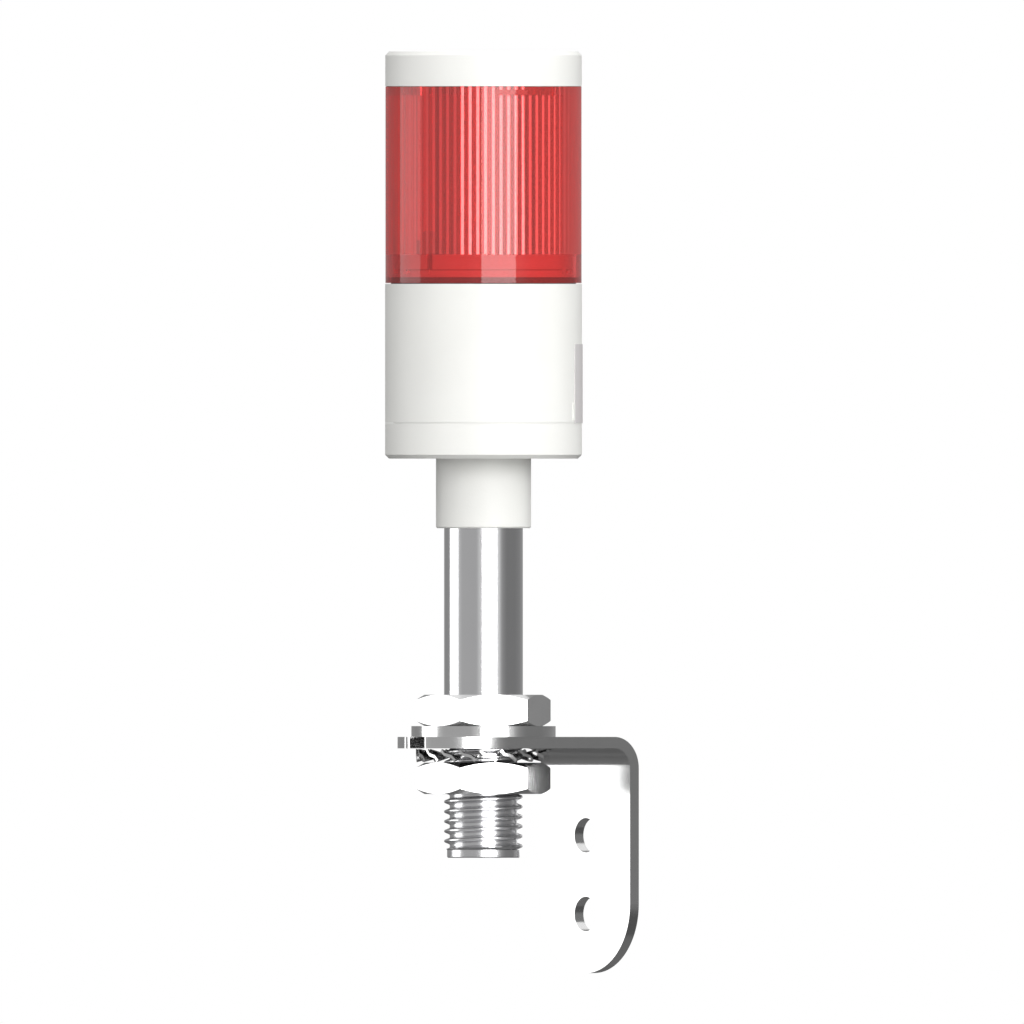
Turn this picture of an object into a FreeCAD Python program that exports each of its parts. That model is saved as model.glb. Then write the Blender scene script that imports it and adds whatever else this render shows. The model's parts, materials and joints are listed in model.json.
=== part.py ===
"""Stack light: one red tier on a round body, a threaded tube and an L bracket.

The origin is the centre of the tube's lower end. +Z runs up the tube, +Y points at the wall
that the bracket is bolted to, and -Y is the front. Lengths are millimetres, angles degrees.
"""
import FreeCAD, Part
import math
import os
import Sketcher

# Driving sizes: name, value, what it measures
SIZES = [
    ("overcut", 1.0, "how far a cut runs past the piece"),
    ("root", 0.6, "how far an added form runs into the wall that carries it"),
    ("tube_diameter", 24.0, "outside of the tube and of its M24 x 3 thread"),
    ("tube_bore", 17.0, "cable way through the tube"),
    ("tube_free", 100.5, "tube seen below the collar"),
    ("pilot_diameter", 22.2, "plain end below the thread"),
    ("pilot_length", 2.4, "length of that end"),
    ("thread_lead_in", 0.9, "bevel where the thread starts"),
    ("nut_flats", 36.0, "across the flats"),
    ("nut_height", 9.55, "both hex nuts"),
    ("nut_bevel_angle", 30.0, "angle of the corner bevels"),
    ("nut_mouth", 1.0, "bevel at the nuts' bores"),
    ("running_gap", 0.05, "nut and collar bores round the tube"),
    ("lower_nut_foot", 19.45, "lower nut above the tube's end"),
    ("washer_diameter", 44.0, "plain washer"),
    ("washer_thickness", 3.3, "plain washer"),
    ("washer_gap", 0.5, "washers and bracket hole round the tube"),
    ("lock_diameter", 41.2, "over the teeth of the lock washer"),
    ("lock_height", 4.36, "free height of the twisted teeth"),
    ("lock_stock", 0.95, "sheet of the lock washer"),
    ("lock_neck", 0.8, "thickness of a tooth where it leaves the ring"),
    ("lock_ring_diameter", 30.0, "its plain inner ring"),
    ("lock_teeth", 20.0, "teeth round it"),
    ("lock_tooth_angle", 16.0, "angle that one tooth takes"),
    ("lock_tip", 0.75, "slanted end of a tooth"),
    ("lock_bend", 1.6, "steep part at each end of a tooth"),
    ("lock_mid_rise", 0.35, "slope of a tooth's middle, over half of it"),
    ("plate", 3.5, "bracket sheet"),
    ("bracket_width", 42.0, "both legs"),
    ("bracket_reach", 44.2, "tube axis to the wall face"),
    ("bracket_across", 72.0, "wall face to the front end"),
    ("bracket_down", 72.0, "top face to the lower end"),
    ("bend_inside", 6.0, "inner radius of the fold"),
    ("cable_slot", 7.0, "slot from the tube hole out of the front end"),
    ("slot_corner", 1.25, "rounding of the slot's mouth"),
    ("wall_hole", 10.6, "both wall holes"),
    ("wall_hole_rise", 18.0, "lower wall hole above the lower end"),
    ("wall_hole_spacing", 24.0, "between the wall holes"),
    ("body_diameter", 60.0, "base and shell"),
    ("body_height", 53.3, "base and shell together"),
    ("body_wall", 2.4, "walls of base and shell"),
    ("base_height", 10.85, "base below the parting line"),
    ("base_floor", 3.0, "floor of the base"),
    ("foot_chamfer", 1.2, "lower edge of the base"),
    ("part_line", 0.3, "open seam between base and shell"),
    ("spigot_rise", 4.4, "ring of the base inside the shell"),
    ("spigot_wall", 2.3, "thickness of that ring"),
    ("spigot_gap", 0.15, "between that ring and the shell"),
    ("collar_diameter", 29.0, "collar round the tube"),
    ("collar_height", 21.2, "collar below the base"),
    ("collar_edge", 0.4, "bevel at the collar's foot"),
    ("deck", 2.5, "top deck of the shell"),
    ("port_diameter", 16.0, "opening for the link through deck and seat"),
    ("post_diameter", 7.0, "screw posts"),
    ("post_direction", 90.0, "first screw post, from +X"),
    ("screw_count", 3.0, "posts, standoffs and unit bosses, of each"),
    ("screw_diameter", 3.0, "shanks of the body and unit screws"),
    ("head_diameter", 5.6, "their heads"),
    ("head_height", 1.8, "their heads"),
    ("head_sink", 2.1, "depth of the head recess in the base"),
    ("drive_depth", 1.0, "cross recess in the heads"),
    ("drive_reach", 1.7, "cross recess, middle to the end of an arm"),
    ("drive_width", 0.85, "cross recess, one arm"),
    ("post_hole", 11.0, "depth of the hole in a screw post"),
    ("hole_spare", 1.0, "blind holes beyond the ends of their screws"),
    ("pilot_gap", 0.1, "screw shanks in their holes"),
    ("base_seal_depth", 0.9, "groove for the base seal"),
    ("base_seal_height", 1.6, "base seal"),
    ("tube_seal_width", 1.9, "seal round the tube"),
    ("tube_seal_depth", 2.0, "seal round the tube"),
    ("ring_nut_diameter", 33.0, "nut on the tube's top end"),
    ("ring_nut_height", 5.0, "nut on the tube's top end"),
    ("ring_nut_slot", 3.0, "its four slots"),
    ("ring_nut_slot_depth", 2.2, "its four slots"),
    ("ring_nut_slots", 4.0, "how many slots it has"),
    ("tube_stand", 1.5, "tube above the ring nut"),
    ("board", 1.6, "thickness of both boards"),
    ("board_drop", 11.0, "driver board below the deck"),
    ("board_gap", 0.4, "driver board to shell and posts"),
    ("stand_diameter", 5.6, "standoffs and unit screw bosses"),
    ("stand_direction", 30.0, "first standoff, from +X"),
    ("stand_hole", 7.0, "depth of the hole in a standoff"),
    ("terminal_width", 20.4, "terminal block across its four ways"),
    ("terminal_depth", 9.0, "terminal block"),
    ("terminal_height", 10.0, "terminal block"),
    ("terminal_setback", 8.0, "terminal block off the axis"),
    ("terminal_ways", 4.0, "wires it takes"),
    ("terminal_pitch", 5.08, "between its ways"),
    ("terminal_mouth", 3.2, "wire mouths"),
    ("terminal_mouth_depth", 5.4, "wire mouths"),
    ("terminal_screw", 3.4, "holes for the clamping screws"),
    ("terminal_screw_depth", 2.5, "clamping screws"),
    ("terminal_slot", 0.6, "slots of the clamping screws"),
    ("can_diameter", 8.0, "capacitors"),
    ("can_height", 11.0, "capacitors"),
    ("can_offset", 10.0, "capacitors off the axis, both ways"),
    ("can_neck_drop", 2.0, "rolled groove below the board"),
    ("can_neck_height", 1.0, "rolled groove"),
    ("can_neck_depth", 0.3, "rolled groove"),
    ("chip_length", 6.2, "driver chip"),
    ("chip_width", 5.0, "driver chip"),
    ("chip_height", 1.7, "driver chip"),
    ("chip_offset", 14.0, "driver chip off the axis"),
    ("chip_pitch", 1.27, "between its leads"),
    ("chip_lead", 0.4, "width and thickness of its leads"),
    ("chip_lead_reach", 0.9, "its leads beyond the case"),
    ("link_length", 10.0, "link body"),
    ("link_width", 5.0, "link body"),
    ("link_pin", 0.7, "link pins"),
    ("link_pitch", 2.54, "between link pins"),
    ("link_pin_rise", 0.7, "link pins above the diode board"),
    ("seat_height", 8.9, "ring that carries the lens, above the deck"),
    ("seat_wall", 2.2, "that ring"),
    ("seat_floor", 2.0, "that ring's floor"),
    ("groove_rise", 3.0, "bayonet groove above the deck"),
    ("groove_height", 1.4, "bayonet groove"),
    ("groove_depth", 1.0, "bayonet groove"),
    ("entry_depth", 1.5, "entry slots down to the groove"),
    ("entry_angle", 4.6, "width of an entry slot"),
    ("entry_direction", 284.0, "first entry slot, from +X"),
    ("lens_lugs", 3.0, "bayonet lugs of the lens"),
    ("lens_lug_angle", 3.2, "width of one lug"),
    ("lug_gap", 0.3, "lugs to groove and slot walls"),
    ("lug_play_angle", 0.3, "angle between a locked lug and its stop"),
    ("twist_angle", 20.0, "bayonet turn of lens and cap"),
    ("key_angle", 19.0, "lower step of the key"),
    ("key_rise", 4.4, "lower step of the key"),
    ("key_tip_angle", 9.0, "upper step of the key"),
    ("key_tip_rise", 2.7, "upper step of the key"),
    ("led_board_rise", 5.2, "diode board above the deck"),
    ("led_board_gap", 0.25, "diode board to the seat wall"),
    ("unit_inset", 3.2, "unit screw bosses out from the link opening"),
    ("unit_grip", 5.0, "unit screws below the deck"),
    ("unit_head_height", 1.4, "heads of the unit screws"),
    ("led_count", 12.0, "diodes on the board"),
    ("led_inset", 4.0, "middle of the diodes in from the seat wall"),
    ("led_length", 3.5, "one diode"),
    ("led_width", 2.8, "one diode"),
    ("led_height", 1.4, "one diode"),
    ("seal_width", 1.0, "lens seal"),
    ("seal_height", 2.0, "lens seal"),
    ("lens_inset", 0.1, "lens inside the body's outline"),
    ("lens_wall", 2.4, "lens wall with its ribs"),
    ("lens_height", 59.9, "lens from foot to top"),
    ("lens_rise", 0.25, "open seam between body and lens"),
    ("lens_gap", 0.3, "lens to seat and seal"),
    ("rib_count", 75.0, "ribs inside the lens"),
    ("rib_depth", 1.2, "height of the ribs"),
    ("rib_crest", 0.9, "flat crest of a rib"),
    ("rib_valley", 0.25, "flat bottom between ribs"),
    ("rib_foot", 8.7, "plain band below the ribs"),
    ("rib_direction", 2.1, "first valley between ribs, from +X"),
    ("cap_inset", 0.05, "cap inside the body's outline"),
    ("cap_height", 10.6, "cap from lens to top"),
    ("cap_rise", 0.1, "open seam between lens and cap"),
    ("cap_wall", 2.6, "side wall of the cap"),
    ("cap_top", 2.0, "top wall of the cap"),
    ("cap_chamfer", 1.2, "upper edge of the cap"),
    ("cap_lugs", 4.0, "bayonet hooks of the cap"),
    ("cap_lug_angle", 20.0, "width of one hook"),
    ("cap_lug_direction", 67.5, "first hook, from +X"),
    ("cap_lug_play_angle", 0.5, "angle between a hook and its pocket, each side"),
    ("cap_lug_drop", 2.4, "hooks below the lens top"),
    ("cap_hook", 1.2, "height of the hook's toe"),
    ("cap_hook_wall", 1.3, "stem of the hook"),
    ("cap_seal_width", 0.6, "seal between cap and lens"),
    ("cap_seal_inset", 0.3, "that seal in from the lens edge"),
    ("cap_seal_depth", 0.5, "groove for that seal"),
    ("label_angle", 125.0, "angle that the label covers at the back"),
    ("label_direction", 90.0, "middle of the label, from +X"),
    ("label_height", 23.7, "label"),
    ("label_thickness", 0.25, "label"),
    ("label_rise", 0.5, "label above the parting line"),
    ("tab_angle", 2.4, "tab beside the label"),
    ("tab_height", 5.3, "tab beside the label"),
    ("tab_depth", 0.3, "tab beside the label"),
]

doc = FreeCAD.newDocument("StackLight")
sheet = doc.addObject("Spreadsheet::Sheet", "dims")


class Size:
    """A number together with its formula over the cells of the sheet."""

    def __init__(self, number, formula):
        self.number = number
        self.formula = formula

    def __add__(self, other):
        other = as_size(other)
        return Size(self.number + other.number, "(%s + %s)" % (self.formula, other.formula))

    def __sub__(self, other):
        other = as_size(other)
        return Size(self.number - other.number, "(%s - %s)" % (self.formula, other.formula))

    def __mul__(self, other):
        other = as_size(other)
        return Size(self.number * other.number, "%s * %s" % (self.formula, other.formula))

    def __truediv__(self, other):
        other = as_size(other)
        return Size(self.number / other.number, "%s / %s" % (self.formula, other.formula))

    def __neg__(self):
        return Size(-self.number, "(0 - %s)" % self.formula)


def as_size(value):
    return value if isinstance(value, Size) else Size(float(value), repr(float(value)))


def cosine(angle):
    return Size(math.cos(math.radians(angle.number)), "cos(%s * 1 deg)" % angle.formula)


def sine(angle):
    return Size(math.sin(math.radians(angle.number)), "sin(%s * 1 deg)" % angle.formula)


def tangent(angle):
    return Size(math.tan(math.radians(angle.number)), "tan(%s * 1 deg)" % angle.formula)


def fill_sheet():
    for row, (name, value, note) in enumerate(SIZES, start=1):
        sheet.set("A%d" % row, name)
        sheet.set("B%d" % row, str(value))
        sheet.set("C%d" % row, note)
        sheet.setAlias("B%d" % row, name)
    doc.recompute()
    return {name: Size(float(sheet.get(name)), "dims." + name) for name, value, note in SIZES}


size = fill_sheet()
ZERO = Size(0.0, "0")

# Half steps from the middle to each of four things in line
FOUR_IN_LINE = (-3, -1, 1, 3)
# Nearer than this counts as the same place
NEAR = 0.01

# Levels up the axis, worked out from the sizes
nut_foot = size["lower_nut_foot"]
lock_foot = nut_foot + size["nut_height"]
plate_foot = lock_foot + size["lock_height"]
plate_top = plate_foot + size["plate"]
upper_nut_foot = plate_top + size["washer_thickness"]
collar_foot = size["tube_free"]
base_foot = collar_foot + size["collar_height"]
floor_top = base_foot + size["base_floor"]
base_rim = base_foot + size["base_height"]
spigot_top = base_rim + size["spigot_rise"]
shell_foot = base_rim + size["part_line"]
deck_top = base_foot + size["body_height"]
deck_under = deck_top - size["deck"]
board_top = deck_under - size["board_drop"]
board_foot = board_top - size["board"]
tube_top = floor_top + size["ring_nut_height"] + size["tube_stand"]
groove_foot = deck_top + size["groove_rise"]
groove_top = groove_foot + size["groove_height"]
seat_top = deck_top + size["seat_height"]
seat_floor_top = deck_top + size["seat_floor"]
led_board_foot = deck_top + size["led_board_rise"]
led_board_top = led_board_foot + size["board"]
seal_top = deck_top + size["seal_height"]
lens_foot = deck_top + size["lens_rise"]
rib_foot = lens_foot + size["rib_foot"]
lens_top = lens_foot + size["lens_height"]
cap_foot = lens_top + size["cap_rise"]
cap_top = cap_foot + size["cap_height"]

# Radii
tube_r = size["tube_diameter"] / 2
bore_r = size["tube_bore"] / 2
body_r = size["body_diameter"] / 2
body_inner_r = body_r - size["body_wall"]
spigot_r = body_inner_r - size["spigot_gap"]
collar_r = size["collar_diameter"] / 2
lens_r = body_r - size["lens_inset"]
lens_inner_r = lens_r - size["lens_wall"]
valley_r = lens_inner_r + size["rib_depth"]
seat_r = lens_inner_r - size["lens_gap"]
seat_inner_r = seat_r - size["seat_wall"]
groove_r = seat_r - size["groove_depth"]
cap_r = body_r - size["cap_inset"]
post_r = size["post_diameter"] / 2
stand_r = size["stand_diameter"] / 2
screw_r = size["screw_diameter"] / 2
hole_r = screw_r + size["pilot_gap"]
port_r = size["port_diameter"] / 2
seal_groove_r = spigot_r - size["base_seal_depth"]
post_ring_r = seal_groove_r - post_r - size["pilot_gap"]
unit_ring_r = port_r + size["unit_inset"] + stand_r
led_ring_r = seat_inner_r - size["led_inset"]


# Sketch and feature helpers
def new_body(name):
    body = doc.addObject("PartDesign::Body", name)
    body.Label = name
    return body


def origin_part(body, role):
    return [part for part in body.Origin.OriginFeatures if part.Role == role][0]


def new_sketch(body, name, plane, lift=None):
    """An empty sketch on one of the body's own planes, lifted along that plane's normal."""
    sketch = body.newObject("Sketcher::SketchObject", name)
    sketch.AttachmentSupport = [(origin_part(body, plane), "")]
    sketch.MapMode = "FlatFace"
    if lift is not None:
        sketch.setExpression(".AttachmentOffset.Base.z", lift.formula)
    return sketch


def constrain(sketch, kind, edge, point, value):
    if value.number == 0.0 and kind in ("DistanceX", "DistanceY"):
        axis = -2 if kind == "DistanceX" else -1
        sketch.addConstraint(Sketcher.Constraint("PointOnObject", edge, point, axis))
        return
    if point is None:
        index = sketch.addConstraint(Sketcher.Constraint(kind, edge, value.number))
    else:
        index = sketch.addConstraint(Sketcher.Constraint(kind, edge, point, value.number))
    sketch.setExpression("Constraints[%d]" % index, value.formula)


def draw_arc(sketch, start, end, centre, turn):
    """An arc about centre, counterclockwise for turn 1. Returns its edge and its end points."""
    first, last = (start, end) if turn > 0 else (end, start)
    middle = FreeCAD.Vector(centre[0].number, centre[1].number, 0)
    angles = [math.atan2(y.number - middle.y, x.number - middle.x) for x, y in (first, last)]
    radius = math.hypot(start[0].number - middle.x, start[1].number - middle.y)
    circle = Part.Circle(middle, FreeCAD.Vector(0, 0, 1), radius)
    edge = sketch.addGeometry(Part.ArcOfCircle(circle, angles[0], angles[1]), False)
    return edge, (1, 2) if turn > 0 else (2, 1)


def hold_centre(sketch, edge, start, end, centre):
    """Fixes the centre of an arc across its chord, the one way that its ends leave it free."""
    chord_x = abs(end[0].number - start[0].number)
    chord_y = abs(end[1].number - start[1].number)
    if chord_y > chord_x:
        constrain(sketch, "DistanceX", edge, 3, centre[0])
    else:
        constrain(sketch, "DistanceY", edge, 3, centre[1])


def draw_loop(sketch, corners):
    """A closed outline. A corner is (x, y), or (x, y, (centre, turn)) before an arc."""
    edges = []
    for index, corner in enumerate(corners):
        start = corner[:2]
        end = corners[(index + 1) % len(corners)][:2]
        if len(corner) > 2:
            edges.append(draw_arc(sketch, start, end, *corner[2]))
        else:
            points = [FreeCAD.Vector(x.number, y.number, 0) for x, y in (start, end)]
            edges.append((sketch.addGeometry(Part.LineSegment(*points), False), (1, 2)))
    for index, (edge, ends) in enumerate(edges):
        before, before_ends = edges[index - 1]
        sketch.addConstraint(Sketcher.Constraint("Coincident", before, before_ends[1], edge, ends[0]))
        constrain(sketch, "DistanceX", edge, ends[0], corners[index][0])
        constrain(sketch, "DistanceY", edge, ends[0], corners[index][1])
    for index, corner in enumerate(corners):
        if len(corner) > 2:
            end = corners[(index + 1) % len(corners)]
            hold_centre(sketch, edges[index][0], corner, end, corner[2][0])


def draw_circle(sketch, x, y, radius):
    middle = FreeCAD.Vector(x.number, y.number, 0)
    edge = sketch.addGeometry(Part.Circle(middle, FreeCAD.Vector(0, 0, 1), radius.number), False)
    constrain(sketch, "DistanceX", edge, 3, x)
    constrain(sketch, "DistanceY", edge, 3, y)
    constrain(sketch, "Radius", edge, None, radius)


def draw_sector(sketch, inner, outer, direction, width):
    """A piece of a ring about the origin, centred on a direction."""
    first = direction - width / 2
    last = direction + width / 2
    middle = (ZERO, ZERO)
    draw_loop(sketch, [
        (inner * cosine(first), inner * sine(first)),
        (outer * cosine(first), outer * sine(first), (middle, 1)),
        (outer * cosine(last), outer * sine(last)),
        (inner * cosine(last), inner * sine(last), (middle, -1)),
    ])


def draw_box(sketch, low_x, low_y, high_x, high_y):
    draw_loop(sketch, [(low_x, low_y), (high_x, low_y), (high_x, high_y), (low_x, high_y)])


def turned(body, name, *outlines, cut=False):
    """A solid or a cut of revolution about Z from outlines of (radius, level)."""
    sketch = new_sketch(body, name + "_profile", "XZ_Plane")
    for outline in outlines:
        draw_loop(sketch, outline)
    kind = "PartDesign::Groove" if cut else "PartDesign::Revolution"
    feature = body.newObject(kind, name)
    feature.Profile = sketch
    feature.ReferenceAxis = (sketch, ["V_Axis"])
    feature.Angle = 360
    return feature


def pad(body, name, sketch, length):
    feature = body.newObject("PartDesign::Pad", name)
    feature.Profile = sketch
    feature.setExpression("Length", length.formula)
    return feature


def pocket(body, name, sketch, length, upward=True):
    """A cut of a sketch along its normal when upward, against it otherwise."""
    feature = body.newObject("PartDesign::Pocket", name)
    feature.Profile = sketch
    feature.Reversed = upward
    feature.setExpression("Length", length.formula)
    return feature


def around(body, name, features, count):
    """The features repeated round the Z axis."""
    pattern = body.newObject("PartDesign::PolarPattern", name)
    pattern.Originals = features
    pattern.Axis = (origin_part(body, "Z_Axis"), [""])
    pattern.Angle = 360
    pattern.setExpression("Occurrences", count.formula)
    body.Tip = pattern
    return pattern


def spot(radius, turn, across=ZERO):
    """The place at a radius along a direction, and across it to the left."""
    return radius * cosine(turn) - across * sine(turn), radius * sine(turn) + across * cosine(turn)


def ring_outline(inner, outer, foot, top):
    return [(inner, foot), (outer, foot), (outer, top), (inner, top)]


def make_ring(name, inner, outer, foot, top):
    body = new_body(name)
    turned(body, "ring", ring_outline(inner, outer, foot, top))
    return body


# Tube and what clamps the bracket on it
def make_support_tube():
    body = new_body("support_tube")
    pilot_r = size["pilot_diameter"] / 2
    start = size["pilot_length"]
    turned(body, "tube", [
        (bore_r, ZERO),
        (pilot_r, ZERO),
        (pilot_r, start),
        (tube_r, start + size["thread_lead_in"]),
        (tube_r, tube_top),
        (bore_r, tube_top),
    ])
    return body


def make_nut(name, foot):
    """A hex nut with two flats facing the wall, and both faces bevelled at the corners."""
    body = new_body(name)
    flat = size["nut_flats"] / 2
    corner = size["nut_flats"] / math.sqrt(3)
    half = corner / 2
    sketch = new_sketch(body, "hexagon", "XY_Plane", foot)
    draw_loop(sketch, [
        (corner, ZERO), (half, flat), (-half, flat), (-corner, ZERO), (-half, -flat), (half, -flat),
    ])
    bore = tube_r + size["running_gap"]
    draw_circle(sketch, ZERO, ZERO, bore)
    pad(body, "hex", sketch, size["nut_height"])
    top = foot + size["nut_height"]
    beyond = corner + size["overcut"]
    drop = (beyond - flat) * tangent(size["nut_bevel_angle"])
    mouth = size["nut_mouth"]
    turned(
        body, "bevels",
        [(flat, top), (beyond, top - drop), (beyond, top)],
        [(flat, foot), (beyond, foot), (beyond, foot + drop)],
        [(bore, foot), (bore + mouth, foot), (bore, foot + mouth)],
        [(bore, top), (bore, top - mouth), (bore + mouth, top)],
        cut=True,
    )
    return body


def make_flat_washer():
    inner = tube_r + size["washer_gap"]
    return make_ring("flat_washer", inner, size["washer_diameter"] / 2, plate_top, upper_nut_foot)


def make_lock_washer():
    """A plain ring with teeth that twist from flat at the ring to a steep S at the rim."""
    body = new_body("lock_washer")
    ring_r = size["lock_ring_diameter"] / 2
    rim_r = size["lock_diameter"] / 2
    middle = lock_foot + size["lock_height"] / 2
    half_stock = size["lock_stock"] / 2
    turned(body, "ring", ring_outline(
        tube_r + size["washer_gap"], ring_r, middle - half_stock, middle + half_stock))

    root_r = ring_r - size["lock_stock"]
    half_root = root_r * sine(size["lock_tooth_angle"] / 2)
    root = new_sketch(body, "tooth_root", "YZ_Plane", root_r)
    quarter = half_root / 2
    half_neck = size["lock_neck"] / 2
    draw_loop(root, [
        (-half_root, middle - half_neck), (-quarter, middle - half_neck),
        (quarter, middle - half_neck), (half_root, middle - half_neck),
        (half_root, middle + half_neck), (quarter, middle + half_neck),
        (-quarter, middle + half_neck), (-half_root, middle + half_neck),
    ])

    tip_r = rim_r + half_stock
    half = tip_r * sine(size["lock_tooth_angle"] / 2)
    rise = size["lock_height"] / 2
    tip = size["lock_tip"]
    bend = half - size["lock_bend"]
    slope = size["lock_mid_rise"]
    end = new_sketch(body, "tooth_end", "YZ_Plane", tip_r)
    draw_loop(end, [
        (-half, middle + rise - tip), (-bend, middle + slope - half_stock),
        (bend, middle - slope - half_stock), (half - tip, middle - rise),
        (half, middle - rise + tip), (bend, middle - slope + half_stock),
        (-bend, middle + slope + half_stock), (tip - half, middle + rise),
    ])
    tooth = body.newObject("PartDesign::AdditiveLoft", "tooth")
    tooth.Profile = root
    tooth.Sections = [end]
    tooth.Ruled = True
    around(body, "teeth", [tooth], size["lock_teeth"])
    beyond = tip_r + size["overcut"]
    turned(body, "rim", ring_outline(
        rim_r, beyond, lock_foot - half_stock, plate_foot + half_stock), cut=True)
    return body


def make_bracket():
    """One strip folded at the back, with both ends rounded."""
    body = new_body("bracket")
    wall = size["bracket_reach"]
    sheet_in = wall - size["plate"]
    front = wall - size["bracket_across"]
    lower = plate_top - size["bracket_down"]
    inside = size["bend_inside"]
    outside = inside + size["plate"]
    half = size["bracket_width"] / 2
    bend = (wall - outside, plate_top - outside)

    section = new_sketch(body, "section", "YZ_Plane")
    draw_loop(section, [
        (front, plate_foot),
        (bend[0], plate_foot, (bend, -1)),
        (sheet_in, bend[1]),
        (sheet_in, lower),
        (wall, lower),
        (wall, bend[1], (bend, 1)),
        (bend[0], plate_top),
        (front, plate_top),
    ])
    strip = pad(body, "strip", section, size["bracket_width"])
    strip.SideType = "Symmetric"

    front_end = new_sketch(body, "front_outline", "XY_Plane", plate_foot)
    centre = front + half
    beyond = half + size["plate"]
    draw_loop(front_end, [
        (-half, centre, ((ZERO, centre), 1)),
        (half, centre),
        (beyond, centre),
        (beyond, front - size["plate"]),
        (-beyond, front - size["plate"]),
        (-beyond, centre),
    ])
    pocket(body, "front_round", front_end, size["plate"])

    foot_end = new_sketch(body, "foot_outline", "XZ_Plane", -wall)
    level = lower + half
    draw_loop(foot_end, [
        (-half, level, ((ZERO, level), 1)),
        (half, level),
        (beyond, level),
        (beyond, lower - size["plate"]),
        (-beyond, lower - size["plate"]),
        (-beyond, level),
    ])
    pocket(body, "foot_round", foot_end, size["plate"])

    tube_way = new_sketch(body, "tube_way_outline", "XY_Plane", plate_foot)
    draw_circle(tube_way, ZERO, ZERO, tube_r + size["washer_gap"])
    pocket(body, "tube_way", tube_way, size["plate"])

    slot = new_sketch(body, "cable_slot_outline", "XY_Plane", plate_foot)
    half_slot = size["cable_slot"] / 2
    draw_box(slot, -half_slot, front - size["plate"], half_slot, ZERO)
    pocket(body, "cable_way", slot, size["plate"])

    wall_holes = new_sketch(body, "wall_hole_outline", "XZ_Plane", -wall)
    first = lower + size["wall_hole_rise"]
    for rise in (first, first + size["wall_hole_spacing"]):
        draw_circle(wall_holes, ZERO, rise, size["wall_hole"] / 2)
    pocket(body, "wall_holes", wall_holes, size["plate"])

    doc.recompute()
    halfway = (front.number - tube_r.number) / 2
    mouth = [
        "Edge%d" % (index + 1) for index, edge in enumerate(body.Shape.Edges)
        if edge.BoundBox.XLength < NEAR and edge.BoundBox.YLength < NEAR
        and abs(abs(edge.BoundBox.XMin) - half_slot.number) < NEAR
        and edge.BoundBox.YMin < halfway
    ]
    base = body.Tip
    rounding = body.newObject("PartDesign::Fillet", "slot_mouth")
    rounding.Base = (base, mouth)
    rounding.setExpression("Radius", size["slot_corner"].formula)
    return body


# Body
def make_base():
    """Lower part of the body, with the collar, three screw bosses and the ring for the shell."""
    body = new_body("base")
    chamfer = size["foot_chamfer"]
    edge = size["collar_edge"]
    bore = tube_r + size["running_gap"]
    seal_r = tube_r + size["tube_seal_width"]
    seal_foot = floor_top - size["tube_seal_depth"]
    seal_groove_foot = base_rim + size["base_seal_height"] / 2
    seal_groove_top = seal_groove_foot + size["base_seal_height"]
    spigot_inner_r = spigot_r - size["spigot_wall"]
    turned(body, "wall", [
        (bore, collar_foot),
        (collar_r - edge, collar_foot),
        (collar_r, collar_foot + edge),
        (collar_r, base_foot),
        (body_r - chamfer, base_foot),
        (body_r, base_foot + chamfer),
        (body_r, base_rim),
        (spigot_r, base_rim),
        (spigot_r, seal_groove_foot),
        (seal_groove_r, seal_groove_foot),
        (seal_groove_r, seal_groove_top),
        (spigot_r, seal_groove_top),
        (spigot_r, spigot_top),
        (spigot_inner_r, spigot_top),
        (spigot_inner_r, floor_top),
        (seal_r, floor_top),
        (seal_r, seal_foot),
        (bore, seal_foot),
    ])
    x, y = spot(post_ring_r, size["post_direction"])
    boss = new_sketch(body, "boss_outline", "XY_Plane", base_foot)
    draw_circle(boss, x, y, post_r)
    boss_pad = pad(body, "boss", boss, spigot_top - base_foot)
    around(body, "bosses", [boss_pad], size["screw_count"])
    shank = new_sketch(body, "shank_outline", "XY_Plane", base_foot)
    draw_circle(shank, x, y, hole_r)
    shank_hole = pocket(body, "shank_hole", shank, spigot_top - base_foot)
    head = new_sketch(body, "head_outline", "XY_Plane", base_foot)
    draw_circle(head, x, y, size["head_diameter"] / 2 + size["pilot_gap"])
    head_hole = pocket(body, "head_hole", head, size["head_sink"])
    around(body, "screw_holes", [shank_hole, head_hole], size["screw_count"])
    return body


def make_body_shell():
    """Upper part of the body: an open cup over the base, with its deck on top."""
    body = new_body("body_shell")
    turned(body, "wall", [
        (body_inner_r, shell_foot),
        (body_r, shell_foot),
        (body_r, deck_top),
        (port_r, deck_top),
        (port_r, deck_under),
        (body_inner_r, deck_under),
    ])
    add_hanging_posts(body)
    tab = new_sketch(body, "tab_outline", "XY_Plane", shell_foot + size["label_rise"])
    direction = size["label_direction"] - size["label_angle"] / 2 - size["tab_angle"] / 2
    draw_sector(tab, body_r - size["tab_depth"], body_r + size["tab_depth"], direction, size["tab_angle"])
    pad(body, "tab", tab, size["tab_height"])
    return body


def add_hanging_posts(body):
    """Screw posts, standoffs and unit bosses under the deck."""
    unit_boss_foot = deck_under - size["unit_grip"]
    posts = [
        ("post", post_ring_r, size["post_direction"], post_r, spigot_top, screw_r, size["post_hole"]),
        ("standoff", post_ring_r, size["stand_direction"], stand_r, board_top, screw_r, size["stand_hole"]),
        ("unit_boss", unit_ring_r, size["post_direction"], stand_r, unit_boss_foot, hole_r, None),
    ]
    for name, ring_r, turn, radius, foot, hole, depth in posts:
        x, y = spot(ring_r, turn)
        outline = new_sketch(body, name + "_outline", "XY_Plane", foot)
        draw_circle(outline, x, y, radius)
        post = pad(body, name, outline, deck_under - foot)
        around(body, name + "s", [post], size["screw_count"])
        drill = new_sketch(body, name + "_hole_outline", "XY_Plane", foot)
        draw_circle(drill, x, y, hole)
        hole_cut = pocket(body, name + "_hole", drill, deck_top - foot if depth is None else depth)
        around(body, name + "_holes", [hole_cut], size["screw_count"])


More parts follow.
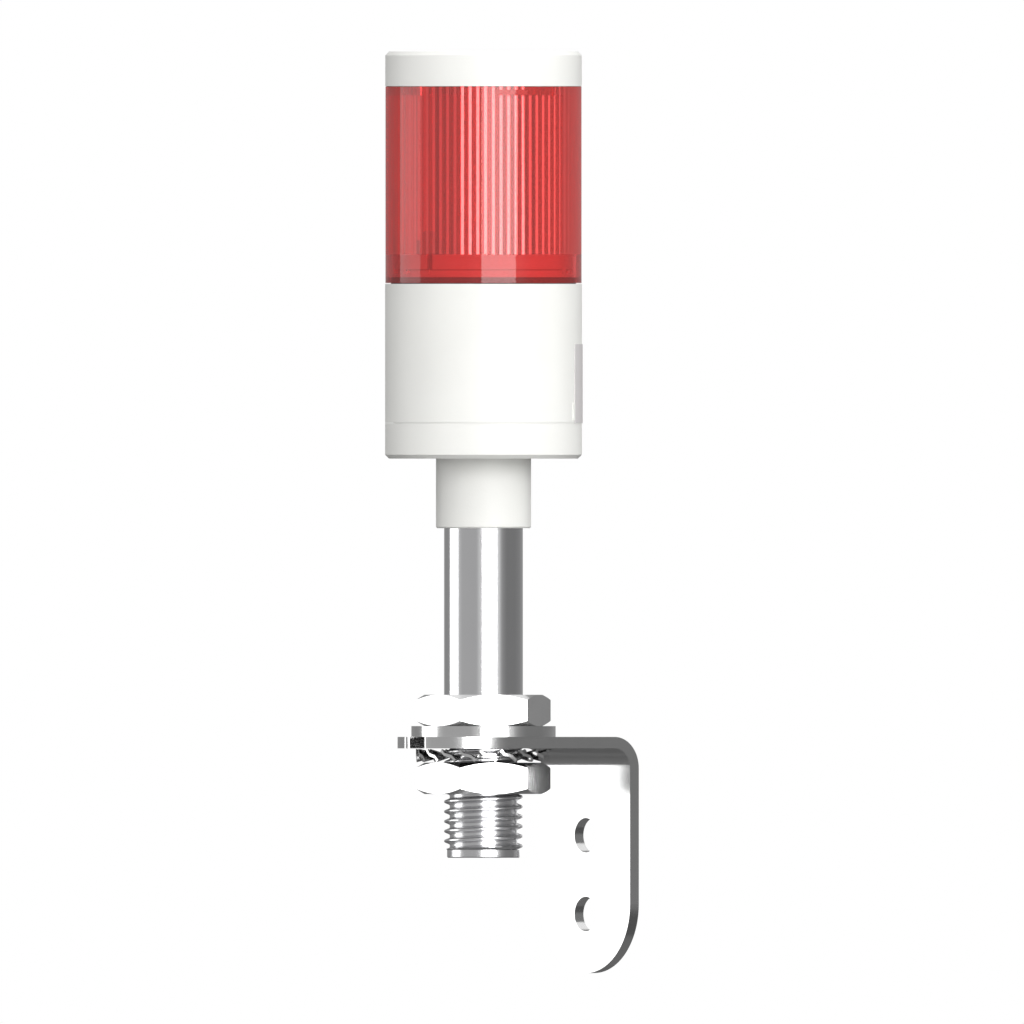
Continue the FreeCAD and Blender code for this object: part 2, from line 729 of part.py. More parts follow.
def make_base_seal():
    foot = base_rim + size["base_seal_height"] / 2
    return make_ring("base_seal", seal_groove_r, body_inner_r, foot, foot + size["base_seal_height"])


def make_tube_seal():
    return make_ring(
        "tube_seal", tube_r, tube_r + size["tube_seal_width"], floor_top - size["tube_seal_depth"], floor_top)


def make_ring_nut():
    body = new_body("ring_nut")
    outer = size["ring_nut_diameter"] / 2
    turned(body, "ring", ring_outline(
        tube_r + size["running_gap"], outer, floor_top, floor_top + size["ring_nut_height"]))
    slot = new_sketch(body, "slot_outline", "XY_Plane", floor_top)
    half = size["ring_nut_slot"] / 2
    draw_box(slot, outer - size["ring_nut_slot_depth"], -half, outer + size["overcut"], half)
    slot_cut = pocket(body, "slot", slot, size["ring_nut_height"])
    around(body, "slots", [slot_cut], size["ring_nut_slots"])
    return body


def make_screws(name, ring_r, turn, head_seat, shank_end, head_height):
    """Pan head screws on a circle. The head lies beyond head_seat, away from shank_end."""
    body = new_body(name)
    head_r = size["head_diameter"] / 2
    x, y = spot(ring_r, turn)
    upward = shank_end.number > head_seat.number
    shank_low = head_seat if upward else shank_end
    shank = new_sketch(body, "shank_outline", "XY_Plane", shank_low)
    draw_circle(shank, x, y, screw_r)
    shank_pad = pad(body, "shank", shank, shank_end - head_seat if upward else head_seat - shank_end)
    head_low = head_seat - head_height if upward else head_seat
    head = new_sketch(body, "head_outline", "XY_Plane", head_low)
    draw_circle(head, x, y, head_r)
    head_pad = pad(body, "head", head, head_height)
    recess_low = head_low if upward else head_low + head_height - size["drive_depth"]
    drive = new_sketch(body, "drive_outline", "XY_Plane", recess_low)
    draw_cross(drive, x, y, size["drive_reach"], size["drive_width"] / 2)
    drive_cut = pocket(body, "drive", drive, size["drive_depth"])
    around(body, "screws", [shank_pad, head_pad, drive_cut], size["screw_count"])
    return body


def draw_cross(sketch, x, y, reach, half):
    """The outline of a cross-shaped drive recess."""
    steps = [
        (reach, -half), (reach, half), (half, half), (half, reach), (-half, reach), (-half, half),
        (-reach, half), (-reach, -half), (-half, -half), (-half, -reach), (half, -reach), (half, -half),
    ]
    draw_loop(sketch, [(x + across, y + up) for across, up in steps])


def make_base_screws():
    seat = base_foot + size["head_sink"]
    end = spigot_top + size["post_hole"] - size["hole_spare"]
    return make_screws("base_screws", post_ring_r, size["post_direction"], seat, end, size["head_height"])


def make_board_screws():
    end = board_top + size["stand_hole"] - size["hole_spare"]
    return make_screws(
        "board_screws", post_ring_r, size["stand_direction"], board_foot, end, size["head_height"])


def make_unit_screws():
    end = deck_under - size["unit_grip"]
    return make_screws(
        "unit_screws", unit_ring_r, size["post_direction"], led_board_top, end, size["unit_head_height"])


# Electronics
def make_circuit_board():
    body = new_body("circuit_board")
    outline = new_sketch(body, "board_outline", "XY_Plane", board_foot)
    draw_circle(outline, ZERO, ZERO, body_inner_r - size["board_gap"])
    pad(body, "board", outline, size["board"])
    x, y = spot(post_ring_r, size["post_direction"])
    notch = new_sketch(body, "notch_outline", "XY_Plane", board_foot)
    draw_circle(notch, x, y, post_r + size["board_gap"])
    notch_cut = pocket(body, "notch", notch, size["board"])
    x, y = spot(post_ring_r, size["stand_direction"])
    hole = new_sketch(body, "hole_outline", "XY_Plane", board_foot)
    draw_circle(hole, x, y, hole_r)
    hole_cut = pocket(body, "hole", hole, size["board"])
    around(body, "cut_outs", [notch_cut, hole_cut], size["screw_count"])
    return body


def make_terminal_block():
    """A block under the board with wire mouths on its outer side and screws from below."""
    body = new_body("terminal_block")
    half = size["terminal_width"] / 2
    near = -size["terminal_setback"]
    far = near - size["terminal_depth"]
    outline = new_sketch(body, "block_outline", "XY_Plane", board_foot - size["terminal_height"])
    draw_box(outline, -half, far, half, near)
    pad(body, "block", outline, size["terminal_height"])
    mouths = new_sketch(body, "mouth_outline", "XZ_Plane", -far)
    screws = new_sketch(body, "screw_outline", "XY_Plane", board_foot - size["terminal_height"])
    for way in range(int(size["terminal_ways"].number)):
        x = terminal_x(way)
        draw_circle(mouths, x, board_foot - size["terminal_height"] / 2, size["terminal_mouth"] / 2)
        draw_circle(screws, x, near - size["terminal_depth"] / 2, size["terminal_screw"] / 2)
    pocket(body, "mouths", mouths, size["terminal_mouth_depth"], upward=False)
    pocket(body, "screw_ways", screws, size["terminal_screw_depth"])
    return body


def terminal_x(way):
    """Place of a way across the block, with the ways centred on it."""
    return size["terminal_pitch"] * way - size["terminal_pitch"] * (size["terminal_ways"] - 1) / 2


def make_terminal_screws():
    body = new_body("terminal_screws")
    y = -size["terminal_setback"] - size["terminal_depth"] / 2
    foot = board_foot - size["terminal_height"]
    height = size["terminal_screw_depth"]
    heads = new_sketch(body, "head_outline", "XY_Plane", foot)
    slots = new_sketch(body, "slot_outline", "XY_Plane", foot)
    head_r = size["terminal_screw"] / 2 - size["pilot_gap"]
    half = size["terminal_slot"] / 2
    reach = head_r + size["pilot_gap"]
    for way in range(int(size["terminal_ways"].number)):
        x = terminal_x(way)
        draw_circle(heads, x, y, head_r)
        draw_box(slots, x - half, y - reach, x + half, y + reach)
    pad(body, "heads", heads, height)
    pocket(body, "slots", slots, height / 2)
    return body


def make_capacitors():
    """Two cans that hang from the driver board, each with a rolled groove near its foot."""
    body = new_body("capacitors")
    radius = size["can_diameter"] / 2
    outline = new_sketch(body, "can_outline", "XY_Plane", board_foot - size["can_height"])
    neck = new_sketch(body, "neck_outline", "XY_Plane", board_foot - size["can_neck_drop"])
    for side in (-1, 1):
        x = size["can_offset"] * side
        draw_circle(outline, x, size["can_offset"], radius)
        draw_circle(neck, x, size["can_offset"], radius)
        draw_circle(neck, x, size["can_offset"], radius - size["can_neck_depth"])
    pad(body, "cans", outline, size["can_height"])
    pocket(body, "necks", neck, size["can_neck_height"])
    return body


def make_driver_chip():
    body = new_body("driver_chip")
    half = size["chip_length"] / 2
    near = size["chip_offset"] - size["chip_width"] / 2
    far = near + size["chip_width"]
    lead = size["chip_lead"]
    reach = size["chip_lead_reach"]
    outline = new_sketch(body, "lead_outline", "XY_Plane", board_top)
    for place in FOUR_IN_LINE:
        x = size["chip_pitch"] * place / 2
        draw_box(outline, x - lead / 2, near - reach, x + lead / 2, far + reach)
    pad(body, "leads", outline, lead)
    case = new_sketch(body, "case_outline", "XY_Plane", board_top)
    draw_box(case, -half, near, half, far)
    pad(body, "case", case, size["chip_height"])
    return body


def make_link_header():
    """A plug between the boards: a moulded block with four pins through the diode board."""
    body = new_body("link_header")
    half = size["link_length"] / 2
    half_width = size["link_width"] / 2
    outline = new_sketch(body, "block_outline", "XY_Plane", board_top)
    draw_box(outline, -half, -half_width, half, half_width)
    pad(body, "block", outline, led_board_foot - board_top)
    pins = new_sketch(body, "pin_outline", "XY_Plane", led_board_foot)
    pin = size["link_pin"] / 2
    for place in FOUR_IN_LINE:
        x = size["link_pitch"] * place / 2
        draw_box(pins, x - pin, -pin, x + pin, pin)
    pad(body, "pins", pins, size["board"] + size["link_pin_rise"])
    return body


# Light unit
def make_lens_seat():
    """A cup on the deck with a bayonet groove, entry slots and a stepped key on its rim."""
    body = new_body("lens_seat")
    turned(body, "cup", [
        (port_r, deck_top),
        (seat_r, deck_top),
        (seat_r, groove_foot),
        (groove_r, groove_foot),
        (groove_r, groove_top),
        (seat_r, groove_top),
        (seat_r, seat_top),
        (seat_inner_r, seat_top),
        (seat_inner_r, seat_floor_top),
        (port_r, seat_floor_top),
    ])
    entry = new_sketch(body, "entry_outline", "XY_Plane", groove_foot)
    direction = size["entry_direction"]
    draw_sector(entry, seat_r - size["entry_depth"], seat_r + size["overcut"], direction, size["entry_angle"])
    entry_cut = pocket(body, "entry", entry, seat_top - groove_foot)
    around(body, "entries", [entry_cut], size["lens_lugs"])

    stop_direction = direction - size["twist_angle"] - size["lens_lug_angle"] - size["lug_play_angle"]
    stop = new_sketch(body, "stop_outline", "XY_Plane", groove_foot)
    draw_sector(stop, groove_r - size["root"], seat_r, stop_direction, size["lens_lug_angle"])
    stop_pad = pad(body, "stop", stop, size["groove_height"])
    around(body, "stops", [stop_pad], size["lens_lugs"])

    x, y = spot(unit_ring_r, size["post_direction"])
    boss = new_sketch(body, "boss_outline", "XY_Plane", deck_top)
    draw_circle(boss, x, y, stand_r)
    boss_pad = pad(body, "boss", boss, size["led_board_rise"])
    around(body, "bosses", [boss_pad], size["screw_count"])
    hole = new_sketch(body, "hole_outline", "XY_Plane", deck_top)
    draw_circle(hole, x, y, hole_r)
    hole_cut = pocket(body, "hole", hole, size["led_board_rise"])
    around(body, "holes", [hole_cut], size["screw_count"])

    key = new_sketch(body, "key_outline", "XY_Plane", seat_top)
    draw_sector(key, seat_inner_r, groove_r, direction, size["key_angle"])
    pad(body, "key", key, size["key_rise"])
    tip = new_sketch(body, "key_tip_outline", "XY_Plane", seat_top + size["key_rise"])
    draw_sector(tip, seat_inner_r, groove_r, direction, size["key_tip_angle"])
    pad(body, "key_tip", tip, size["key_tip_rise"])
    return body


def make_led_board():
    body = new_body("led_board")
    outline = new_sketch(body, "board_outline", "XY_Plane", led_board_foot)
    draw_circle(outline, ZERO, ZERO, seat_inner_r - size["led_board_gap"])
    pin = size["link_pin"] / 2 + size["pilot_gap"]
    for place in FOUR_IN_LINE:
        x = size["link_pitch"] * place / 2
        draw_box(outline, x - pin, -pin, x + pin, pin)
    pad(body, "board", outline, size["board"])
    x, y = spot(unit_ring_r, size["post_direction"])
    hole = new_sketch(body, "hole_outline", "XY_Plane", led_board_foot)
    draw_circle(hole, x, y, hole_r)
    hole_cut = pocket(body, "hole", hole, size["board"])
    around(body, "holes", [hole_cut], size["screw_count"])
    return body


def make_leds():
    body = new_body("leds")
    half = size["led_length"] / 2
    half_width = size["led_width"] / 2
    outline = new_sketch(body, "led_outline", "XY_Plane", led_board_top)
    draw_box(outline, led_ring_r - half_width, -half, led_ring_r + half_width, half)
    diode = pad(body, "diode", outline, size["led_height"])
    around(body, "diodes", [diode], size["led_count"])
    return body


def make_lens_seal():
    return make_ring("lens_seal", seat_r, seat_r + size["seal_width"], deck_top, seal_top)


def make_lens():
    """A clear cylinder with ribs inside, lugs for the seat and bayonet pockets for the cap."""
    body = new_body("lens")
    recess_r = seat_r + size["seal_width"] + size["lens_gap"]
    turned(body, "wall", [
        (recess_r, lens_foot),
        (lens_r, lens_foot),
        (lens_r, lens_top),
        (lens_inner_r, lens_top),
        (lens_inner_r, seal_top),
        (recess_r, seal_top),
    ])
    add_ribs(body)
    add_seat_lugs(body)
    add_cap_pockets(body)
    return body


def add_ribs(body):
    """Cuts one valley between two ribs and repeats it round the lens."""
    pitch = lens_inner_r * (math.pi * 2) / size["rib_count"]
    half_mouth = (pitch - size["rib_crest"]) / 2
    half_valley = size["rib_valley"] / 2
    lead = size["rib_depth"] / 2
    valley = new_sketch(body, "valley_outline", "XY_Plane", rib_foot)
    wide = half_mouth + (half_mouth - half_valley) / 2
    direction = size["rib_direction"]
    draw_loop(valley, [
        spot(lens_inner_r - lead, direction, -wide),
        spot(valley_r, direction, -half_valley),
        spot(valley_r, direction, half_valley),
        spot(lens_inner_r - lead, direction, wide),
    ])
    cut = pocket(body, "valley", valley, lens_top - rib_foot)
    around(body, "ribs", [cut], size["rib_count"])


def add_seat_lugs(body):
    """Small lugs at the lens foot, one twist before the entry slots of the seat."""
    foot = groove_foot + size["lug_gap"]
    lug = new_sketch(body, "lug_outline", "XY_Plane", foot)
    direction = size["entry_direction"] - size["twist_angle"]
    outer = lens_inner_r + size["root"]
    draw_sector(lug, groove_r + size["lug_gap"], outer, direction, size["lens_lug_angle"])
    lug_pad = pad(body, "lug", lug, size["groove_height"] - size["lug_gap"] * 2)
    around(body, "lugs", [lug_pad], size["lens_lugs"])


def add_cap_pockets(body):
    """Pockets in the rib ends: a way in from above, and a run under a lip to turn into."""
    width = size["cap_lug_angle"] + size["cap_lug_play_angle"] * 2
    inner = lens_inner_r - size["rib_depth"]
    drop = size["cap_lug_drop"] + size["lug_gap"]
    run = new_sketch(body, "run_outline", "XY_Plane", lens_top - drop)
    direction = size["cap_lug_direction"] + size["twist_angle"] / 2
    draw_sector(run, inner, valley_r, direction, width + size["twist_angle"])
    run_cut = pocket(body, "run", run, size["cap_hook"] + size["lug_gap"] * 2)
    way = new_sketch(body, "way_in_outline", "XY_Plane", lens_top - drop)
    draw_sector(way, inner, valley_r, size["cap_lug_direction"] + size["twist_angle"], width)
    way_cut = pocket(body, "way_in", way, drop)
    around(body, "pockets", [run_cut, way_cut], size["cap_lugs"])


# Cap
def make_top_cap():
    """A closed cap with a chamfered edge and hooks that turn under the lens lip."""
    body = new_body("top_cap")
    inner = cap_r - size["cap_wall"]
    chamfer = size["cap_chamfer"]
    seal_out = lens_r - size["cap_seal_inset"]
    seal_in = seal_out - size["cap_seal_width"]
    groove_top_level = cap_foot + size["cap_seal_depth"]
    turned(body, "shell", [
        (ZERO, cap_top - size["cap_top"]),
        (inner, cap_top - size["cap_top"]),
        (inner, cap_foot),
        (seal_in, cap_foot),
        (seal_in, groove_top_level),
        (seal_out, groove_top_level),
        (seal_out, cap_foot),
        (cap_r, cap_foot),
        (cap_r, cap_top - chamfer),
        (cap_r - chamfer, cap_top),
        (ZERO, cap_top),
    ])
    hook_outer = valley_r - size["lug_gap"]
    stem_outer = lens_inner_r - size["lug_gap"]
    stem_inner = stem_outer - size["cap_hook_wall"]
    foot = lens_top - size["cap_lug_drop"]
    stem = new_sketch(body, "stem_outline", "XY_Plane", foot)
    draw_sector(stem, stem_inner, stem_outer, size["cap_lug_direction"], size["cap_lug_angle"])
    stem_pad = pad(body, "stem", stem, cap_foot - foot + size["cap_hook"])
    toe = new_sketch(body, "toe_outline", "XY_Plane", foot)
    draw_sector(toe, stem_inner, hook_outer, size["cap_lug_direction"], size["cap_lug_angle"])
    toe_pad = pad(body, "toe", toe, size["cap_hook"])
    web = new_sketch(body, "web_outline", "XY_Plane", cap_foot)
    draw_sector(web, stem_inner, inner + size["root"], size["cap_lug_direction"], size["cap_lug_angle"])
    web_pad = pad(body, "web", web, size["cap_hook"])
    around(body, "hooks", [stem_pad, toe_pad, web_pad], size["cap_lugs"])
    return body


def make_cap_seal():
    outer = lens_r - size["cap_seal_inset"]
    inner = outer - size["cap_seal_width"]
    return make_ring("cap_seal", inner, outer, lens_top, cap_foot + size["cap_seal_depth"])


def make_rating_label():
    body = new_body("rating_label")
    outline = new_sketch(body, "label_outline", "XY_Plane", shell_foot + size["label_rise"])
    outer = body_r + size["label_thickness"]
    draw_sector(outline, body_r, outer, size["label_direction"], size["label_angle"])
    pad(body, "label", outline, size["label_height"])
    return body


def check_document():
    """Stops at the first object that failed, or at a piece with no valid shape."""
    for item in doc.Objects:
        if "Invalid" in item.State or "Error" in item.State:
            raise RuntimeError("failed: " + item.Name)


def export(bodies):
    os.makedirs("parts", exist_ok=True)
    for body in bodies:
        shape = body.Shape
        if shape.isNull() or not shape.isValid() or not shape.Solids:
            raise RuntimeError("no valid shape: " + body.Label)
        shape.exportStep("parts/%s.step" % body.Label)
        print("%-16s %d solids, %.1f mm3" % (body.Label, len(shape.Solids), shape.Volume))


bodies = [
    make_support_tube(),
    make_nut("lower_nut", nut_foot),
    make_nut("upper_nut", upper_nut_foot),
    make_flat_washer(),
    make_lock_washer(),
    make_bracket(),
    make_base(),
    make_body_shell(),
    make_base_seal(),
    make_base_screws(),
    make_tube_seal(),
    make_ring_nut(),
    make_circuit_board(),
    make_board_screws(),
    make_terminal_block(),
    make_terminal_screws(),
    make_capacitors(),
    make_driver_chip(),
    make_link_header(),
    make_lens_seat(),
    make_led_board(),
    make_leds(),
    make_unit_screws(),
    make_lens_seal(),
    make_lens(),
    make_top_cap(),
    make_cap_seal(),
    make_rating_label(),
]
doc.recompute()
check_document()
export(bodies)
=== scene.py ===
"""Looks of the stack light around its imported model. Metres, +Z up, the wall on the +Y side."""
import json
import math

import bmesh
import bpy
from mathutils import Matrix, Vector


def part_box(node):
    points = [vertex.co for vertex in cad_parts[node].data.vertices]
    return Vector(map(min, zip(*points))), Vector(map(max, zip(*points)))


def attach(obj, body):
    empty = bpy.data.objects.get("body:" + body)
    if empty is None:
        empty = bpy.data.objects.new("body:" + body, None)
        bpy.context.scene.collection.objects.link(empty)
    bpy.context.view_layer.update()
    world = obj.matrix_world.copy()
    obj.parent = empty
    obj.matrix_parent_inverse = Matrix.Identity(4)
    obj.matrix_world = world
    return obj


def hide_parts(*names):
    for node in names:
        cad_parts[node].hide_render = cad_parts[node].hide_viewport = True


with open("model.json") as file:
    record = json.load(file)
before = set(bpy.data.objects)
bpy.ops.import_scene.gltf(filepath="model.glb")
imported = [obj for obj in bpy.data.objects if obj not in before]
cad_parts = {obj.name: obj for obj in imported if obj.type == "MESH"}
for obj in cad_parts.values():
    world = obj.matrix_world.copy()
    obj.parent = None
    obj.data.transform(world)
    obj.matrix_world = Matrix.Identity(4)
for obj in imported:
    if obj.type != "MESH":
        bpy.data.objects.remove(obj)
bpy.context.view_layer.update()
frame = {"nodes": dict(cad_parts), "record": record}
nodes = frame["nodes"]
scene = bpy.context.scene

# Camera: a parallel, level view, turned from the object's front
VIEW_TURN = math.radians(50)
VIEW_WIDTH = 0.3122
VIEW_RIGHT = 0.00869
VIEW_LEVEL = 0.10543
CAMERA_DISTANCE = 2
TOWARDS_CAMERA = Vector((math.sin(VIEW_TURN), -math.cos(VIEW_TURN), 0))
IMAGE_RIGHT = Vector((math.cos(VIEW_TURN), math.sin(VIEW_TURN), 0))
# Turn about Z from +X to the side that faces the camera
CAMERA_SIDE = math.atan2(TOWARDS_CAMERA.y, TOWARDS_CAMERA.x)


def make_camera():
    data = bpy.data.cameras.new("camera")
    data.type = "ORTHO"
    data.ortho_scale = VIEW_WIDTH
    camera = bpy.data.objects.new("camera", data)
    middle = IMAGE_RIGHT * VIEW_RIGHT + Vector((0, 0, VIEW_LEVEL))
    camera.location = middle + TOWARDS_CAMERA * CAMERA_DISTANCE
    camera.rotation_euler = (math.pi / 2, 0, VIEW_TURN)
    scene.collection.objects.link(camera)
    scene.camera = camera


# Node tools
def node_tree(owner):
    owner.use_nodes = True
    tree = owner.node_tree
    tree.nodes.clear()
    return tree


def feed(tree, socket, value):
    """Links a socket to another one, or sets its value."""
    if isinstance(value, bpy.types.NodeSocket):
        tree.links.new(value, socket)
    else:
        socket.default_value = value


def add_node(tree, kind, **values):
    """A new node, with its inputs by name, capitalised, or by number, as in0, and its other settings."""
    node = tree.nodes.new(kind)
    for name, value in values.items():
        if name[0].isupper():
            feed(tree, node.inputs[name.replace("_", " ")], value)
        elif name[:2] == "in" and name[2:].isdigit():
            feed(tree, node.inputs[int(name[2:])], value)
        else:
            setattr(node, name, value)
    return node


def maths(tree, operation, first, second, clamp=False):
    return add_node(
        tree, "ShaderNodeMath", operation=operation, use_clamp=clamp, in0=first, in1=second).outputs[0]


def above(tree, value, limit):
    return maths(tree, "GREATER_THAN", value, limit)


def below(tree, value, limit):
    return maths(tree, "LESS_THAN", value, limit)


def both(tree, first, second):
    return maths(tree, "MULTIPLY", first, second)


def map_range(tree, value, start, end, first, last, **settings):
    """The value taken from start...end to first...last, and held at the ends."""
    return add_node(
        tree, "ShaderNodeMapRange", in0=value, in1=start, in2=end, in3=first, in4=last,
        **settings).outputs[0]


def mix_value(tree, share, first, second):
    return map_range(tree, share, 0.0, 1.0, first, second)


def mix_colour(tree, share, first, second):
    return add_node(
        tree, "ShaderNodeMix", data_type="RGBA", in0=share, in6=first, in7=second).outputs[2]


def mix_shader(tree, share, first, second):
    return add_node(
        tree, "ShaderNodeMixShader", in0=share, in1=first.outputs[0], in2=second.outputs[0])


def grey(level):
    return (level, level, level, 1.0)


def new_material(name):
    """An empty material, its node tree and the place on the object."""
    material = bpy.data.materials.new(name)
    tree = node_tree(material)
    place = add_node(tree, "ShaderNodeTexCoord").outputs["Object"]
    return material, tree, place


# Soft boxes: first and last turn, lowest and highest elevation, in degrees as seen from the object,
# then the radiance and the rays that see them. Turn 0 is the camera's side, and the image's right
# is positive.
GLOSS_AND_DULL = ("glossy", "diffuse")
GLASS = ("transmission",)
DULL = ("diffuse",)
PANELS = [
    ("panel_side", -116, -80, -12, 14, 1.7, GLOSS_AND_DULL),
    ("panel_front", -2.4, 38.4, -9, 25.5, 5.0, GLOSS_AND_DULL),
    ("panel_glass", -27, 51, -12, 26, 11.8, GLASS),
    ("panel_glass_right", 51, 105, -12, 26, 1.7, GLASS),
    ("panel_glass_far", 105, 150, -12, 26, 1.3, GLASS),
    ("panel_fill", 50, 100, 5, 45, 1.15, DULL),
    ("panel_left", -34, -4, -5, 30, 0.75, DULL),
    ("panel_back", 125, 215, 0, 40, 0.7, DULL),
]
PANEL_DISTANCE = 4.0
PANEL_AIM_LEVEL = 0.105


def add_panel(name, first, last, low, high, radiance, seen_by):
    """One soft box that fills its range of turns and elevations."""
    width = 2 * PANEL_DISTANCE * math.tan(math.radians((last - first) / 2))
    foot = PANEL_DISTANCE * math.tan(math.radians(low))
    top = PANEL_DISTANCE * math.tan(math.radians(high))
    data = bpy.data.lights.new(name, "AREA")
    data.shape = "RECTANGLE"
    data.size = width
    data.size_y = top - foot
    data.energy = radiance * math.pi * data.size * data.size_y
    panel = bpy.data.objects.new(name, data)
    angle = CAMERA_SIDE + math.radians((first + last) / 2)
    panel.location = (
        math.cos(angle) * PANEL_DISTANCE, math.sin(angle) * PANEL_DISTANCE,
        PANEL_AIM_LEVEL + (foot + top) / 2)
    panel.rotation_euler = (math.pi / 2, 0, angle + math.pi / 2)
    panel.visible_camera = False
    panel.visible_glossy = "glossy" in seen_by
    panel.visible_transmission = "transmission" in seen_by
    panel.visible_diffuse = "diffuse" in seen_by
    scene.collection.objects.link(panel)


# World: the soft light rises with the direction's Z, and gloss that looks down sees a darker white
SOFT_FOOT = -0.4
SOFT_TOP = 0.6
SOFT_LOW = 0.13
GLOSS_FADES_BELOW = -0.35
GLOSS_DARK_BELOW = -0.6
GLOSS_DARK = 0.16


def make_world():
    """White for what is seen straight, in gloss or through glass, and soft light from above."""
    world = bpy.data.worlds.new("studio")
    scene.world = world
    tree = node_tree(world)
    path = add_node(tree, "ShaderNodeLightPath")
    in_gloss = path.outputs["Is Glossy Ray"]
    seen = maths(tree, "MAXIMUM", path.outputs["Is Camera Ray"], in_gloss)
    seen = maths(tree, "MAXIMUM", seen, path.outputs["Is Transmission Ray"])
    place = add_node(tree, "ShaderNodeTexCoord").outputs["Generated"]
    height = add_node(tree, "ShaderNodeSeparateXYZ", in0=place).outputs["Z"]
    gloss_level = map_range(tree, height, GLOSS_FADES_BELOW, GLOSS_DARK_BELOW, 1.0, GLOSS_DARK)
    white_level = mix_value(tree, in_gloss, 1.0, gloss_level)
    white = add_node(tree, "ShaderNodeBackground", Color=grey(1.0), Strength=white_level)
    soft_level = map_range(tree, height, SOFT_FOOT, SOFT_TOP, SOFT_LOW, 1.0)
    soft = add_node(tree, "ShaderNodeBackground", Color=grey(1.0), Strength=soft_level)
    sky = mix_shader(tree, seen, soft, white)
    add_node(tree, "ShaderNodeOutputWorld", Surface=sky.outputs[0])


# Grey cards: turn from the camera's side in degrees and brightness there, which falls off low down
CARD_GREYS = [
    (-180, 0.30), (-135, 0.27), (-118, 0.30), (-76, 0.55), (-66, 0.43), (-20, 0.42), (-12, 0.6),
    (46, 0.75), (53, 0.38), (60, 0.27), (72, 0.205), (106, 0.205), (132, 0.245), (150, 0.31),
    (180, 0.30),
]
CARD_R = 5.0
CARD_HEIGHT = 8.0
CARD_DIM_FOOT = -1.2
CARD_DIM_TOP = -0.1
CARD_DIM = 0.45
FLOOR_R = 4.0
FLOOR_LEVEL = -0.25
FLOOR_PALE = (0.86, 0.86, 0.86, 1)
FLOOR_ROUGHNESS = 0.9
STAGE_SEGMENTS = 96


def make_cards():
    """A round wall of grey cards that only gloss and soft light see."""
    mesh = bpy.data.meshes.new("cards")
    build = bmesh.new()
    bmesh.ops.create_cone(
        build, segments=STAGE_SEGMENTS, radius1=CARD_R, radius2=CARD_R, depth=CARD_HEIGHT,
        cap_ends=False)
    build.to_mesh(mesh)
    build.free()
    cards = bpy.data.objects.new("cards", mesh)
    cards.rotation_euler = (0, 0, CAMERA_SIDE)
    scene.collection.objects.link(cards)
    cards.visible_camera = False
    cards.visible_shadow = False
    cards.visible_transmission = False

    material, tree, place = new_material("card_greys")
    split = add_node(tree, "ShaderNodeSeparateXYZ", in0=place)
    turn = maths(tree, "ARCTAN2", split.outputs["Y"], split.outputs["X"])
    share = map_range(tree, turn, -math.pi, math.pi, 0.0, 1.0)
    ramp = add_node(tree, "ShaderNodeValToRGB", in0=share)
    stops = ramp.color_ramp.elements
    while len(stops) < len(CARD_GREYS):
        stops.new(0.5)
    for stop, (degrees, level) in zip(stops, CARD_GREYS):
        stop.position = (degrees + 180) / 360
        stop.color = grey(level)
    low = map_range(tree, split.outputs["Z"], CARD_DIM_FOOT, CARD_DIM_TOP, CARD_DIM, 1.0)
    light = add_node(tree, "ShaderNodeEmission", Color=ramp.outputs["Color"], Strength=low)
    add_node(tree, "ShaderNodeOutputMaterial", Surface=light.outputs[0])
    mesh.materials.append(material)


def make_floor():
    """A round pale floor below the bracket."""
    mesh = bpy.data.meshes.new("floor")
    build = bmesh.new()
    bmesh.ops.create_circle(build, segments=STAGE_SEGMENTS, radius=FLOOR_R, cap_ends=True)
    build.to_mesh(mesh)
    build.free()
    floor = bpy.data.objects.new("floor", mesh)
    floor.location = (0, 0, FLOOR_LEVEL)
    floor.visible_glossy = False
    floor.visible_diffuse = False
    scene.collection.objects.link(floor)
    material = bpy.data.materials.new("floor_pale")
    tree = node_tree(material)
    paint = add_node(
        tree, "ShaderNodeBsdfPrincipled", Base_Color=FLOOR_PALE, Roughness=FLOOR_ROUGHNESS)
    add_node(tree, "ShaderNodeOutputMaterial", Surface=paint.outputs[0])
    mesh.materials.append(material)


# Noise scales, per metre, their detail, and the range that most of a noise lies in
PATCHES = 40
METAL_PATCHES = 60
SHEEN = 300
MARKS = 900
GRAIN = 1600
DETAIL = 4.0
MARK_DETAIL = 3.0
GRAIN_DETAIL = 2.0
NOISE_LOW = 0.3
NOISE_HIGH = 0.7

# How far roughness strays, and how deep a metal's marks are
PLASTIC_STRAY = 0.04
METAL_SMOOTHEST = 0.8
METAL_ROUGHEST = 1.25
MARK_DEPTH = 0.000004


def noise(tree, place, scale, detail=DETAIL):
    return add_node(
        tree, "ShaderNodeTexNoise", Vector=place, Scale=scale, Detail=detail).outputs["Fac"]


def spread(tree, value, low, high):
    """Maps a noise value to a range."""
    return map_range(tree, value, NOISE_LOW, NOISE_HIGH, low, high)


def bump(tree, height, distance):
    return add_node(
        tree, "ShaderNodeBump", Height=height, Distance=distance, Strength=1.0).outputs[0]


def radius_and_level(tree, place):
    """Distance from the object's axis, and height."""
    split = add_node(tree, "ShaderNodeSeparateXYZ", in0=place)
    across = add_node(tree, "ShaderNodeCombineXYZ", X=split.outputs["X"], Y=split.outputs["Y"])
    radius = add_node(tree, "ShaderNodeVectorMath", operation="LENGTH", in0=across.outputs[0])
    return radius.outputs["Value"], split.outputs["Z"]


# Lens seat: what is set back from its outer face, from just under the top of its groove upwards,
# slots and key alike, gets a darker colour, painted shade in place of less light
SEAT_FACE_R = 0.0272
SET_BACK = 0.0004
SET_BACK_FOOT = 0.1791
SEAT_PAINTED_SHADE = (0.48, 0.34, 0.34, 1.0)


